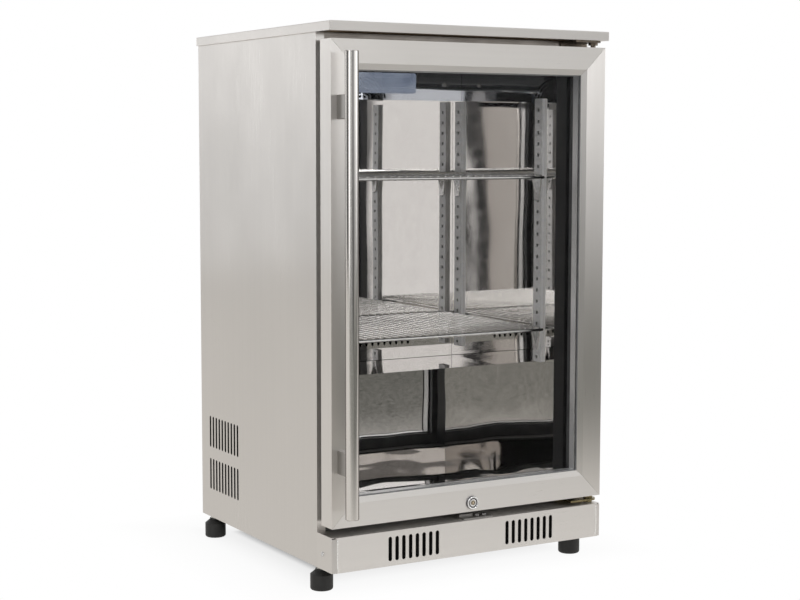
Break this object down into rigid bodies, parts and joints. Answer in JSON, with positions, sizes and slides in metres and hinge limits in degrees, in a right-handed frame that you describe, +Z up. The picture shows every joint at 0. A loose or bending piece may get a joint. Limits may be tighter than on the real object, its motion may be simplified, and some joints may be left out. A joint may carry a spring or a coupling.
{
  "type": "undercounter refrigerator",
  "caption": "Free-standing stainless undercounter refrigerator with a hinged glass door, tube pull, key lock, wire shelves on uprights, slotted kick plate and levelling feet.",
  "frame": {"origin": "on the floor under the middle of the whole footprint, handle included", "axes": "+Z up, +Y from the door to the back, +X to the right seen from the front (hinge side)"},
  "size_m": [0.5, 0.52, 0.85],
  "materials": {
    "stainless_brushed": "brushed, satin",
    "stainless_polished": "mirror-polished sheet",
    "galvanised_steel": "zinc-coated, faint spangle",
    "yellow_zinc": "yellow passivated zinc",
    "black_plastic": "moulded, satin",
    "grey_plastic": "moulded, satin",
    "light_cover": "frosted",
    "black_rubber": "moulded, dull",
    "foam": "rigid polyurethane foam",
    "clear_glass": "clear float glass",
    "board": "particle board",
    "aluminium": "mill finish",
    "copper": "drawn copper",
    "black_paint": "satin enamel",
    "chrome": "bright plated wire",
    "brass": "nickel-washed brass"
  },
  "bodies": {
    "cabinet": {"worktop": "stainless_brushed", "side_panel_left": "stainless_brushed", "side_panel_right": "stainless_brushed", "kick_plate": "stainless_brushed", "lock_keeper": "stainless_brushed", "liner": "stainless_polished", "back_panel": "stainless_polished", "discharge_hood": "stainless_polished", "rear_panel": "galvanised_steel", "rear_grille": "galvanised_steel", "base_tray": "galvanised_steel", "machine_partition": "galvanised_steel", "pilaster_front_left": "galvanised_steel", "pilaster_front_right": "galvanised_steel", "pilaster_rear_left": "galvanised_steel", "pilaster_rear_right": "galvanised_steel", "drip_tray": "galvanised_steel", "blower_housing": "galvanised_steel", "hinge_bracket_top": "yellow_zinc", "hinge_bracket_bottom": "yellow_zinc", "breaker_frame": "black_plastic", "terminal_box": "black_plastic", "thermostat_box": "grey_plastic", "light_bar": "light_cover", "compressor_grommets": "black_rubber", "cord_inlet": "black_rubber", "insulation": "foam", "worktop_board": "board", "evaporator_coil": "aluminium", "pipework": "copper", "front_frame": "black_paint", "compressor": "black_paint", "condenser_coil": "black_paint", "condenser_fan_frame": "black_paint", "shelf_upper": "chrome", "shelf_lower": "chrome", "shelf_clips": "chrome", "panel_screws": "chrome"},
    "door": {"door_stile_left": "stainless_brushed", "door_stile_right": "stainless_brushed", "door_rail_top": "stainless_brushed", "door_rail_bottom": "stainless_brushed", "door_inner_frame": "grey_plastic", "glass_outer": "clear_glass", "glass_inner": "clear_glass", "glass_spacer": "aluminium", "door_gasket": "black_rubber", "handle_bar": "stainless_brushed", "handle_posts": "stainless_brushed", "handle_bolts": "chrome", "hinge_bushes": "grey_plastic", "lock_barrel": "chrome"},
    "lock": {"lock_core": "brass"},
    "blower": {"blower_rotor": "black_plastic"},
    "condenser_fan": {"condenser_fan_rotor": "black_plastic"},
    "knob": {"thermostat_knob": "grey_plastic"},
    "foot_fl": {"foot_front_left": "black_rubber"},
    "foot_fr": {"foot_front_right": "black_rubber"},
    "foot_rl": {"foot_rear_left": "black_rubber"},
    "foot_rr": {"foot_rear_right": "black_rubber"}
  },
  "joints": [
    {"name": "door_hinge", "type": "hinge", "parent": "cabinet", "child": "door", "pos_m": [0.233, -0.2, 0.4655], "axis": [0, 0, 1], "range_deg": [0, 110]},
    {"name": "lock_turn", "type": "hinge", "parent": "door", "child": "lock", "pos_m": [0, -0.205, 0.12], "axis": [0, 1, 0], "range_deg": [0, 90]},
    {"name": "blower_spin", "type": "hinge", "parent": "cabinet", "child": "blower", "pos_m": [0, 0.195, 0.716], "axis": [1, 0, 0], "continuous": true},
    {"name": "condenser_fan_spin", "type": "hinge", "parent": "cabinet", "child": "condenser_fan", "pos_m": [-0.166, 0.165, 0.15], "axis": [1, 0, 0], "continuous": true},
    {"name": "knob_turn", "type": "hinge", "parent": "cabinet", "child": "knob", "pos_m": [-0.18, -0.045, 0.766], "axis": [1, 0, 0], "range_deg": [0, 270]},
    {"name": "foot_fl_level", "type": "slide", "parent": "cabinet", "child": "foot_fl", "axis": [0, 0, -1], "range_m": [0, 0.012]},
    {"name": "foot_fr_level", "type": "slide", "parent": "cabinet", "child": "foot_fr", "axis": [0, 0, -1], "range_m": [0, 0.012]},
    {"name": "foot_rl_level", "type": "slide", "parent": "cabinet", "child": "foot_rl", "axis": [0, 0, -1], "range_m": [0, 0.012]},
    {"name": "foot_rr_level", "type": "slide", "parent": "cabinet", "child": "foot_rr", "axis": [0, 0, -1], "range_m": [0, 0.012]}
  ]
}
